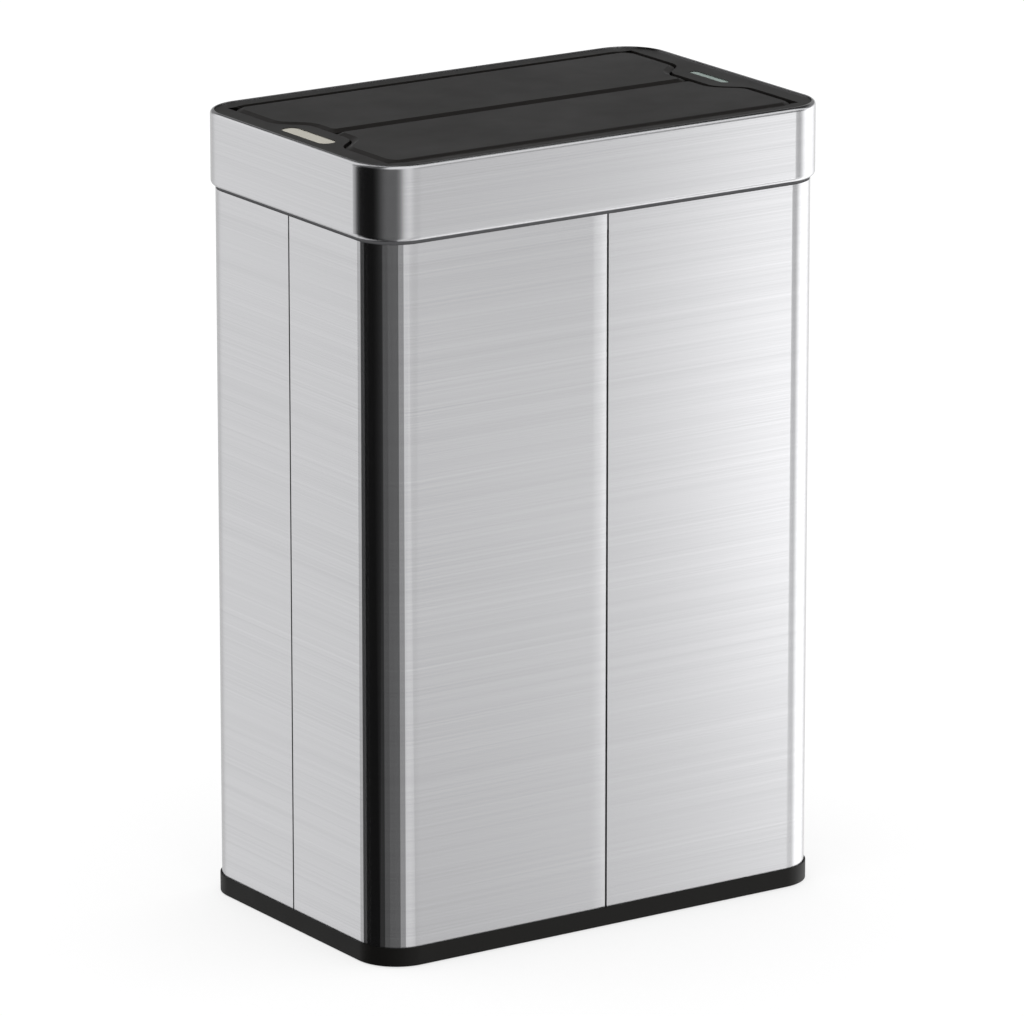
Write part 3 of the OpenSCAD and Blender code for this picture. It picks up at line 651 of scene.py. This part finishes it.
@dataclass
class Bench:
    """Shapes pieces with the modelling tools, as by hand, and hands them over dressed."""

    nodes: dict[str, Piece]
    wardrobe: Wardrobe
    smooth_deg: float = 32.0
    soft_segments: int = 2
    merge: float = MM / 1000

    def clear(self) -> None:
        """Deselect everything, so that a tool acts on one piece only."""
        bpy.ops.object.select_all(action="DESELECT")

    def take(self, piece: Piece) -> None:
        """Select one piece and make it active."""
        self.clear()
        piece.select_set(True)
        bpy.context.view_layer.objects.active = piece

    def settle(self, name: str) -> Piece:
        """Name the new piece, and put its place and turn into its mesh."""
        piece = bpy.context.object
        piece.name = name
        self.take(piece)
        bpy.ops.object.transform_apply(location=True, rotation=True, scale=True)
        return piece

    def block(self, name: str, low: Point, high: Point) -> Piece:
        """Add a block between two corners.

        Args:
            name: the piece's name.
            low: the lowest corner.
            high: the highest corner.

        Returns:
            The block, with its place in its mesh.
        """
        low, high = Vector(low), Vector(high)
        self.clear()
        bpy.ops.mesh.primitive_cube_add(size=1, location=(low + high) / 2, scale=high - low)
        return self.settle(name)

    def rod(self, name: str, start: Point, end: Point, radius: float, sides: int = 48) -> Piece:
        """Add a rod between two points.

        Args:
            name: the piece's name.
            start: the middle of one end.
            end: the middle of the other end.
            radius: the rod's radius.
            sides: how many sides it has.

        Returns:
            The rod, with its place in its mesh.
        """
        start, end = Vector(start), Vector(end)
        self.clear()
        bpy.ops.mesh.primitive_cylinder_add(
            vertices=sides,
            radius=radius,
            depth=(end - start).length,
            location=(start + end) / 2,
            rotation=(end - start).to_track_quat("Z", "Y").to_euler(),
        )
        return self.settle(name)

    def merged_copy(self, name: str, node: str) -> Piece:
        """Copy a CAD node's mesh, with its loose triangles joined."""
        piece = bpy.data.objects.new(name, self.nodes[node].data.copy())
        bpy.context.scene.collection.objects.link(piece)
        self.take(piece)
        bpy.ops.object.mode_set(mode="EDIT")
        bpy.ops.mesh.select_all(action="SELECT")
        bpy.ops.mesh.remove_doubles(threshold=self.merge)
        self.done()
        return piece

    def copy(self, piece: Piece, name: str, offset: Point = (0, 0, 0), turn: float = 0.0) -> Piece:
        """Copy a piece with its own mesh, turned about the frame's upright axis and moved.

        Args:
            piece: the piece to copy.
            name: the copy's name.
            offset: how far the copy is moved.
            turn: how far it is turned, in radians.

        Returns:
            The copy, with its place in its mesh.
        """
        self.take(piece)
        bpy.ops.object.duplicate(linked=False)
        bpy.context.object.location = offset
        bpy.context.object.rotation_euler.z = turn
        return self.settle(name)

    def join(self, pieces: Sequence[Piece], name: str) -> Piece:
        """Join several pieces into the first."""
        self.take(pieces[0])
        for piece in pieces[1:]:
            piece.select_set(True)
        bpy.ops.object.join()
        pieces[0].name = name
        return pieces[0]

    def pick_faces(self, piece: Piece, wanted: Test) -> None:
        """Go into edit mode with the faces whose centre and normal pass a test."""
        self.start_pick(piece, (False, False, True))
        for face in piece.data.polygons:
            face.select = wanted(face.center, face.normal)
        bpy.ops.object.mode_set(mode="EDIT")

    def pick_edges(self, piece: Piece, wanted: Test) -> None:
        """Go into edit mode with the edges whose centre and direction pass a test."""
        self.start_pick(piece, (False, True, False))
        points = piece.data.vertices
        for edge in piece.data.edges:
            first, second = (points[i].co for i in edge.vertices)
            edge.select = wanted((first + second) / 2, (second - first).normalized())
        bpy.ops.object.mode_set(mode="EDIT")

    def pick_points(self, piece: Piece, wanted: Callable[[Vector], bool]) -> None:
        """Go into edit mode with the points that pass a test."""
        self.start_pick(piece, (True, False, False))
        for point in piece.data.vertices:
            point.select = wanted(point.co)
        bpy.ops.object.mode_set(mode="EDIT")

    def start_pick(self, piece: Piece, mode: tuple[bool, bool, bool]) -> None:
        """Clear what is selected in a piece, and leave it in object mode."""
        self.take(piece)
        bpy.ops.object.mode_set(mode="EDIT")
        bpy.context.tool_settings.mesh_select_mode = mode
        bpy.ops.mesh.select_all(action="DESELECT")
        self.done()

    def slice(self, piece: Piece, point: Point, across: Point) -> None:
        """Slice a whole piece along a plane, and keep both sides."""
        self.pick_faces(piece, anything)
        bpy.ops.mesh.bisect(plane_co=point, plane_no=across)
        self.done()

    def done(self) -> None:
        """Leave edit mode."""
        bpy.ops.object.mode_set(mode="OBJECT")

    def inset(self, width: float, depth: float = 0.0) -> None:
        """Inset the picked faces."""
        bpy.ops.mesh.inset(thickness=width, depth=depth)

    def extrude(self, offset: Point) -> None:
        """Extrude the picked faces by an offset."""
        bpy.ops.mesh.extrude_region_move(TRANSFORM_OT_translate={"value": tuple(offset)})

    def press(self, piece: Piece, direction: Vector, width: float, offset: Point) -> None:
        """Inset the faces that look in a direction by a width, and move them by an offset."""
        self.pick_faces(piece, facing(direction))
        self.inset(width)
        self.extrude(offset)
        self.done()

    def round_edges(self, piece: Piece, wanted: Test, radius: float, segments: int) -> None:
        """Round the edges that pass a test."""
        self.pick_edges(piece, wanted)
        bpy.ops.mesh.bevel(offset=radius, segments=segments, profile=0.5, affect="EDGES")
        self.done()

    def soften(self, piece: Piece, width: float, angle_deg: float) -> None:
        """Round every sharp edge of a piece.

        Args:
            piece: the piece.
            width: how wide the rounding is.
            angle_deg: only edges sharper than this are rounded.
        """
        bevel = piece.modifiers.new("soft_edges", "BEVEL")
        bevel.width = width
        bevel.segments = self.soft_segments
        bevel.limit_method = "ANGLE"
        bevel.angle_limit = math.radians(angle_deg)
        self.take(piece)
        bpy.ops.object.modifier_apply(modifier=bevel.name)

    def cut_out(self, piece: Piece, cutter: Piece) -> None:
        """Cut one shape out of a piece, and throw the cutter away."""
        cut = piece.modifiers.new("cut", "BOOLEAN")
        cut.operation = "DIFFERENCE"
        cut.solver = "EXACT"
        cut.object = cutter
        self.take(piece)
        bpy.ops.object.modifier_apply(modifier=cut.name)
        bpy.data.objects.remove(cutter)

    def hand_over(
        self, piece: Piece, stock: Stock, body: str, slot: str, stands_for: Sequence[str]
    ) -> None:
        """Dress a piece, ride it on its body and report it.

        Args:
            piece: the finished piece.
            stock: its finish.
            body: the CAD body that it moves with.
            slot: the record's material slot of its finish; not used.
            stands_for: the CAD nodes that it is shown in place of.
        """
        self.take(piece)
        bpy.ops.object.shade_smooth_by_angle(angle=math.radians(self.smooth_deg))
        flat = piece.modifiers.new("flat_faces", "WEIGHTED_NORMAL")
        flat.keep_sharp = True
        bpy.ops.object.modifier_apply(modifier=flat.name)
        piece.data.materials.clear()
        self.wardrobe.dress(piece, stock)
        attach(piece, body)
        if stands_for:
            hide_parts(*stands_for)
        LOG.info("%s on %s: %d faces", piece.name, body, len(piece.data.polygons))


# ---------- the bin ----------


@dataclass
class Assembly:
    """A sub-assembly: it dresses its CAD nodes and adds the pieces shaped here."""

    bench: Bench

    def finishes(self) -> dict[str, Stock]:
        """The finish of each node, by how the node's name starts."""
        return {}

    def build(self) -> None:
        """Shape this sub-assembly's own pieces."""

    def make(self) -> None:
        """Dress the nodes, then build the pieces."""
        for start, stock in self.finishes().items():
            for name, node in self.bench.nodes.items():
                if name.startswith(start):
                    self.bench.wardrobe.dress(node, stock)
        self.build()
        LOG.info("%s made", type(self).__name__.lower())

    def softened(
        self,
        node: str,
        stock: Stock,
        body: str,
        slot: str,
        width_mm: float,
        angle_deg: float = 30.0,
    ) -> None:
        """Show a CAD node with its sharp edges rounded."""
        piece = self.bench.merged_copy(f"{node}_soft", node)
        self.bench.soften(piece, width_mm * MM, angle_deg)
        self.bench.hand_over(piece, stock, body, slot, [node])


@dataclass
class Shell(Assembly):
    """The four steel panels, the strips behind their seams and the ring at the top.

    At the front and back seams one panel's edge is drawn in a little, over fold_mm.
    """

    fold_mm: float = 15.0
    fold_steps: int = 5
    drawn_in_mm: float = 0.22
    sheet_mm: float = 3.0

    def finishes(self) -> dict[str, Stock]:
        """Steel panels on black backing, and the ring in grey: painted shade of the gap under the
        collar.
        """
        return {"panel_": Stock.SHEET, "seam_strip_": Stock.BACKING, "top_ring": Stock.RING}

    def build(self) -> None:
        """Shape the two panels whose edges are drawn in."""
        self.drawn_in("panel_front_left", 1.0)
        self.drawn_in("panel_back_right", -1.0)

    def drawn_in(self, node: str, inwards: float) -> None:
        """Draw in the seam edge of a panel, in small steps. inwards is 1 towards the back."""
        piece = self.bench.merged_copy(f"{node}_folded", node)
        low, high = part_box(node)
        edge = high[0] if inwards > 0 else low[0]
        face = low[1] if inwards > 0 else high[1]
        near = self.sheet_mm * MM
        for step in range(1, self.fold_steps + 1):
            start = edge - inwards * self.fold_mm * MM * step / self.fold_steps
            self.bench.slice(piece, (start, 0, 0), RIGHT)
        for step in range(self.fold_steps):
            start = edge - inwards * self.fold_mm * MM * (step + 0.5) / self.fold_steps
            left = self.fold_steps - step
            depth = (left**2 - (left - 1) ** 2) / self.fold_steps**2
            self.bench.pick_points(
                piece, lambda point: (point.x - start) * inwards > 0 and abs(point.y - face) < near
            )
            bpy.ops.transform.translate(value=(0, inwards * depth * self.drawn_in_mm * MM, 0))
            self.bench.done()
        self.bench.hand_over(piece, Stock.SHEET, "station", "brushed_shell", [node])


@dataclass
class Base(Assembly):
    """The base tray, with a rounded rim, and its four rubber feet."""

    rim_mm: float = 0.9
    foot_edge_mm: float = 0.5
    tread_mm: float = 2.2
    tread_depth_mm: float = 0.5

    def finishes(self) -> dict[str, Stock]:
        """Black moulding and rubber."""
        return {"base_tray": Stock.MOULDING, "foot_": Stock.RUBBER}

    def build(self) -> None:
        """Shape the tray's rim, one foot and its copies."""
        self.softened("base_tray", Stock.MOULDING, "station", "black_moulding", self.rim_mm)
        first = "foot_front_left"
        low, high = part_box(first)
        middle = (Vector(low) + Vector(high)) / 2
        foot = self.foot(first + "_treaded", middle, low[2], high[2], (high[0] - low[0]) / 2)
        for name in ("foot_front_right", "foot_back_left", "foot_back_right"):
            other_low, other_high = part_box(name)
            offset = (Vector(other_low) + Vector(other_high)) / 2 - middle
            copy = self.bench.copy(foot, name + "_treaded", offset)
            self.bench.hand_over(copy, Stock.RUBBER, "station", "foot_rubber", [name])
        self.bench.hand_over(foot, Stock.RUBBER, "station", "foot_rubber", [first])

    def foot(self, name: str, middle: Vector, bottom: float, top: float, radius: float) -> Piece:
        """Turn a foot with two ring-shaped treads in its sole.

        Args:
            name: the piece's name.
            middle: the foot's middle, of which the height isn't used.
            bottom: the height of the sole.
            top: the height of the top.
            radius: the foot's radius.

        Returns:
            The foot.
        """
        foot, head = (middle.x, middle.y, bottom), (middle.x, middle.y, top)
        piece = self.bench.rod(name, foot, head, radius)
        self.bench.round_edges(piece, level_with(UP, bottom), self.foot_edge_mm * MM, 3)
        self.bench.pick_faces(piece, facing(DOWN))
        for depth in (1, -1, 1):
            self.bench.inset(self.tread_mm * MM)
            self.bench.extrude(UP * depth * self.tread_depth_mm * MM)
        self.bench.done()
        return piece


@dataclass
class Head(Assembly):
    """The collar, the deck with its lenses and boards, and the tray with its screws."""

    deck_edge_mm: float = 0.5
    tray_edge_mm: float = 0.5
    lens_flange_mm: float = 1.5
    lens_plate_mm: float = 2.0
    lens_round: float = 0.44
    dome_mm: tuple[float, ...] = (0.5, 0.9, 1.4)
    dome_slope: float = 0.12
    screw_head_mm: float = 2.8
    screw_head_high_mm: float = 1.8
    screw_shank_mm: float = 1.4
    screw_round: float = 0.35
    recess_mm: tuple[float, float, float] = (3.0, 0.7, 1.0)

    def finishes(self) -> dict[str, Stock]:
        """Steel collar, charcoal deck, black tray, and the boards' own materials."""
        return {
            "collar": Stock.SHEET,
            "deck_frame": Stock.DECK,
            "drive_tray": Stock.MOULDING,
            "head_screws": Stock.PLATED,
            "board_screws": Stock.PLATED,
            "sensor_lens": Stock.SENSOR,
            "status_lens": Stock.STATUS,
            "sensor_board": Stock.BOARD,
            "status_board": Stock.BOARD,
            "control_board": Stock.BOARD,
            "control_chips": Stock.CHIP,
            "ir_pair": Stock.TINTED,
            "status_leds": Stock.LAMP,
            "door_bumpers": Stock.RUBBER,
        }

    def build(self) -> None:
        """Shape the deck, the tray, the lenses and the screws."""
        self.softened("deck_frame", Stock.DECK, "head", "charcoal_deck", self.deck_edge_mm)
        self.softened("drive_tray", Stock.MOULDING, "head", "black_moulding", self.tray_edge_mm)
        self.lens("sensor_lens", Stock.SENSOR, "sensor_window")
        self.lens("status_lens", Stock.STATUS, "status_window")
        self.screws()

    def lens(self, node: str, stock: Stock, slot: str) -> None:
        """Shape a lens: a flange under the deck, and a window with a slightly domed face."""
        low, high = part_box(node)
        flange = self.lens_flange_mm * MM
        width = high[0] - low[0] - 2 * flange
        shelf = low[2] + self.lens_plate_mm * MM
        piece = self.bench.block(f"{node}_domed", low, (high[0], high[1], shelf))
        self.bench.round_edges(piece, running(UP), width * self.lens_round + flange, 10)
        self.bench.pick_faces(piece, facing(UP))
        self.bench.inset(flange)
        rise = sum(self.dome_mm) * self.dome_slope * MM
        self.bench.extrude(UP * (high[2] - shelf - rise))
        for inset in self.dome_mm:
            self.bench.inset(inset * MM, inset * self.dome_slope * MM)
        self.bench.done()
        self.bench.hand_over(piece, stock, "head", slot, [node])

    def screws(self) -> None:
        """Shape one pan-head screw with a cross recess, and copy it to its six places."""
        low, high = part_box("head_screws")
        radius = self.screw_head_mm * MM
        top_of_head = low[2] + self.screw_head_high_mm * MM
        x, y = high[0] - radius, high[1] - radius
        screw = self.bench.rod("screw", (x, y, low[2]), (x, y, top_of_head), radius, 40)
        self.bench.round_edges(screw, level_with(UP, low[2]), self.screw_round * radius, 4)
        around = radius - self.screw_shank_mm * MM
        self.bench.press(screw, UP, around, UP * (high[2] - top_of_head))
        long, short, deep = (size * MM for size in self.recess_mm)
        for half_x, half_y in ((long / 2, short / 2), (short / 2, long / 2)):
            cutter = self.bench.block(
                "recess",
                (x - half_x, y - half_y, low[2] - MM),
                (x + half_x, y + half_y, low[2] + deep),
            )
            self.bench.cut_out(screw, cutter)
        copies = [screw]
        for step_x in (0, 1, 2):
            for step_y in (0, 1):
                if step_x or step_y:
                    offset = (-x * step_x, -2 * y * step_y, 0)
                    copies.append(self.bench.copy(screw, "screw", offset))
        joined = self.bench.join(copies, "head_screws_crossed")
        self.bench.hand_over(joined, Stock.PLATED, "head", "plated_steel", ["head_screws"])


@dataclass
class Doors(Assembly):
    """The two doors with soft edges, their liners, pins and toothed sectors."""

    crease_deg: float = 18.0
    door_edge_mm: float = 0.8
    liner_edge_mm: float = 0.5

    def finishes(self) -> dict[str, Stock]:
        """Charcoal doors, black liners, plated pins and acetal gears."""
        found: dict[str, Stock] = {}
        for side in ("front", "back"):
            found[f"{side}_door"] = Stock.DECK
            found[f"{side}_door_liner"] = Stock.MOULDING
            found[f"{side}_hinge_pin_"] = Stock.PLATED
            found[f"{side}_door_gear"] = Stock.ACETAL
        return found

    def build(self) -> None:
        """Round the edges of the doors and their liners."""
        for side in ("front", "back"):
            body = f"{side}_door"
            self.softened(
                body, Stock.DECK, body, "charcoal_deck", self.door_edge_mm, self.crease_deg
            )
            self.softened(
                f"{body}_liner", Stock.MOULDING, body, "black_moulding", self.liner_edge_mm
            )


@dataclass
class Buckets(Assembly):
    """The two buckets, with soft rims, and their bails with ribbed grips."""

    rim_mm: float = 0.7
    ribs: int = 9
    rib_mm: float = 6.0
    rib_high_mm: float = 0.8
    flank_mm: float = 0.5
    rib_edge_mm: float = 0.3
    rib_crease_deg: float = 40.0

    def finishes(self) -> dict[str, Stock]:
        """A grey and a blue bucket on plated bails."""
        return {
            "bucket_left": Stock.WASTE,
            "bucket_right": Stock.RECYCLING,
            "bail_left": Stock.PLATED,
            "bail_right": Stock.PLATED,
            "bail_grip_": Stock.MOULDING,
        }

    def build(self) -> None:
        """Round the rims and shape the grips."""
        self.softened("bucket_left", Stock.WASTE, "left_bucket", "waste_bucket", self.rim_mm)
        self.softened(
            "bucket_right", Stock.RECYCLING, "right_bucket", "recycling_bucket", self.rim_mm
        )
        grip = self.grip("bail_grip_left")
        copy = self.bench.copy(grip, "bail_grip_right_ribbed", turn=math.pi)
        for piece, side in ((grip, "left"), (copy, "right")):
            self.bench.hand_over(
                piece, Stock.MOULDING, f"{side}_bail", "black_moulding", [f"bail_grip_{side}"]
            )

    def grip(self, node: str) -> Piece:
        """Draw a grip out along its bail, rib by rib.

        Args:
            node: the CAD node that it stands for.

        Returns:
            The grip.
        """
        low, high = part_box(node)
        x, z = (low[0] + high[0]) / 2, (low[2] + high[2]) / 2
        full = (high[2] - low[2]) / 2
        thin = full - self.rib_high_mm * MM
        rib, flank = self.rib_mm * MM, self.flank_mm * MM
        spare = high[1] - low[1] - self.ribs * (rib + 2 * flank)
        space = spare / (self.ribs + 1)
        piece = self.bench.rod(f"{node}_ribbed", (x, low[1], z), (x, low[1] + space, z), thin, 40)
        self.bench.pick_faces(piece, facing(BACK))
        at = low[1] + space
        for _ in range(self.ribs):
            for length, scale in (
                (flank, full / thin), (rib, 1.0), (flank, thin / full), (space, 1.0)
            ):
                at += length
                self.bench.extrude((0, length, 0))
                bpy.ops.transform.resize(value=(scale, 1, scale), center_override=(x, at, z))
        self.bench.done()
        self.bench.soften(piece, self.rib_edge_mm * MM, self.rib_crease_deg)
        return piece


@dataclass
class Drive(Assembly):
    """The two gear motors, each a gearbox with a motor can, and their pinions."""

    box_edge_mm: float = 1.2
    flange_mm: float = 3.0
    panel_inset_mm: float = 3.0
    panel_deep_mm: float = 0.8
    can_edge_mm: float = 1.0
    boss_mm: float = 3.2
    boss_long_mm: float = 2.5
    groove_at_mm: float = 5.0
    groove_mm: float = 1.2
    groove_scale: float = 0.95

    def finishes(self) -> dict[str, Stock]:
        """Black gearboxes, drawn cans and acetal pinions."""
        return {"gear_motor_": Stock.MOULDING, "motor_can_": Stock.CAN, "pinion_": Stock.ACETAL}

    def build(self) -> None:
        """Shape the front pair, and turn copies of it round to the back."""
        pairs = [
            (self.gearbox("gear_motor_front"), "gear_motor", Stock.MOULDING, "black_moulding"),
            (self.can("motor_can_front"), "motor_can", Stock.CAN, "motor_can"),
        ]
        for piece, start, stock, slot in pairs:
            copy = self.bench.copy(piece, f"{start}_back_shaped", turn=math.pi)
            self.bench.hand_over(piece, stock, "head", slot, [f"{start}_front"])
            self.bench.hand_over(copy, stock, "head", slot, [f"{start}_back"])

    def gearbox(self, node: str) -> Piece:
        """Shape a gearbox: a block with panelled faces, and the flange that holds the motor."""
        low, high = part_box(node)
        back = high[1] - self.flange_mm * MM
        piece = self.bench.block(f"{node}_shaped", low, (high[0], back, high[2]))
        self.bench.round_edges(piece, running(BACK), self.box_edge_mm * MM, 3)
        inset = self.panel_inset_mm * MM
        for toward in (UP, DOWN, RIGHT):
            self.bench.press(piece, toward, inset, -toward * self.panel_deep_mm * MM)
        self.bench.press(piece, BACK, inset, (0, self.flange_mm * MM, 0))
        return piece

    def can(self, node: str) -> Piece:
        """Turn a motor can: a rounded drum with a crimped groove and a bearing boss."""
        low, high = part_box(node)
        x, z = (low[0] + high[0]) / 2, (low[2] + high[2]) / 2
        radius = (high[0] - low[0]) / 2
        end = high[1] - self.boss_long_mm * MM
        piece = self.bench.rod(f"{node}_shaped", (x, low[1], z), (x, end, z), radius)
        self.bench.round_edges(piece, level_with(BACK, end), self.can_edge_mm * MM, 4)
        around = radius - (self.can_edge_mm + self.boss_mm) * MM
        self.bench.press(piece, BACK, around, (0, self.boss_long_mm * MM, 0))
        for at in (0, self.groove_mm / 2, self.groove_mm):
            self.bench.slice(piece, (0, low[1] + (self.groove_at_mm + at) * MM, 0), BACK)
        middle = low[1] + (self.groove_at_mm + self.groove_mm / 2) * MM
        self.bench.pick_points(piece, lambda point: abs(point.y - middle) < TOUCH)
        narrow = self.groove_scale
        bpy.ops.transform.resize(value=(narrow, 1, narrow), center_override=(x, middle, z))
        self.bench.done()
        return piece


@dataclass
class Power(Assembly):
    """The battery box and its cover, the cells, and the power switch at the back."""

    cover_corner_mm: float = 2.5
    cover_edge_mm: float = 0.2
    cover_crease_deg: float = 40.0
    recess_mm: float = 3.0
    recess_deep_mm: float = 0.4
    latch_ribs: int = 5
    latch_half_mm: float = 7.0
    knob_edge_mm: float = 0.15
    bezel_edge_mm: float = 0.5

    def finishes(self) -> dict[str, Stock]:
        """Black mouldings, wrapped cells and a red knob."""
        return {
            "battery_box": Stock.MOULDING,
            "batteries": Stock.CELL,
            "battery_cover": Stock.MOULDING,
            "switch_bezel": Stock.MOULDING,
            "power_switch": Stock.KNOB,
        }

    def build(self) -> None:
        """Shape the cover, the bezel and the knob."""
        self.cover()
        self.softened("switch_bezel", Stock.MOULDING, "head", "black_moulding", self.bezel_edge_mm)
        self.softened("power_switch", Stock.KNOB, "power_switch", "switch_knob", self.knob_edge_mm)

    def cover(self) -> None:
        """Shape the battery cover: rounded corners, a sunk panel and a ribbed thumb catch."""
        node = "battery_cover"
        low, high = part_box(node)
        piece = self.bench.block(f"{node}_ribbed", low, high)
        self.bench.round_edges(piece, running(UP), self.cover_corner_mm * MM, 5)
        self.bench.press(piece, DOWN, self.recess_mm * MM, UP * self.recess_deep_mm * MM)
        middle = (Vector(low) + Vector(high)) / 2
        half = self.latch_half_mm * MM
        for side in (-1, 1):
            self.bench.slice(piece, (middle.x + side * half, 0, 0), RIGHT)
        for line in range(2 * self.latch_ribs + 1):
            offset = (line - self.latch_ribs) * MM
            self.bench.slice(piece, (0, middle.y + offset, 0), BACK)
        sunk = low[2] + self.recess_deep_mm * MM

        def is_rib(centre: Vector, normal: Vector) -> bool:
            """Tell whether a face is one of the catch's ribs."""
            along = (centre.y - middle.y) / MM + self.latch_ribs
            inside = abs(centre.x - middle.x) < half and 0 < along < 2 * self.latch_ribs
            return inside and abs(centre.z - sunk) < TOUCH and int(along) % 2 == 0

        self.bench.pick_faces(piece, is_rib)
        self.bench.extrude(DOWN * self.recess_deep_mm * MM)
        self.bench.done()
        self.bench.soften(piece, self.cover_edge_mm * MM, self.cover_crease_deg)
        self.bench.hand_over(piece, Stock.MOULDING, "battery_cover", "black_moulding", [node])


def main() -> None:
    """Set up the studio, then make the bin, sub-assembly by sub-assembly."""
    logging.basicConfig(level=logging.INFO, format="%(name)s: %(message)s")
    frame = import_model()
    studio = Studio()
    studio.camera()
    studio.floor()
    studio.tent()
    studio.world()
    bench = Bench(frame["nodes"], Wardrobe())
    for kind in (Shell, Base, Head, Doors, Buckets, Drive, Power):
        kind(bench).make()


if __name__ == "__main__":
    main()
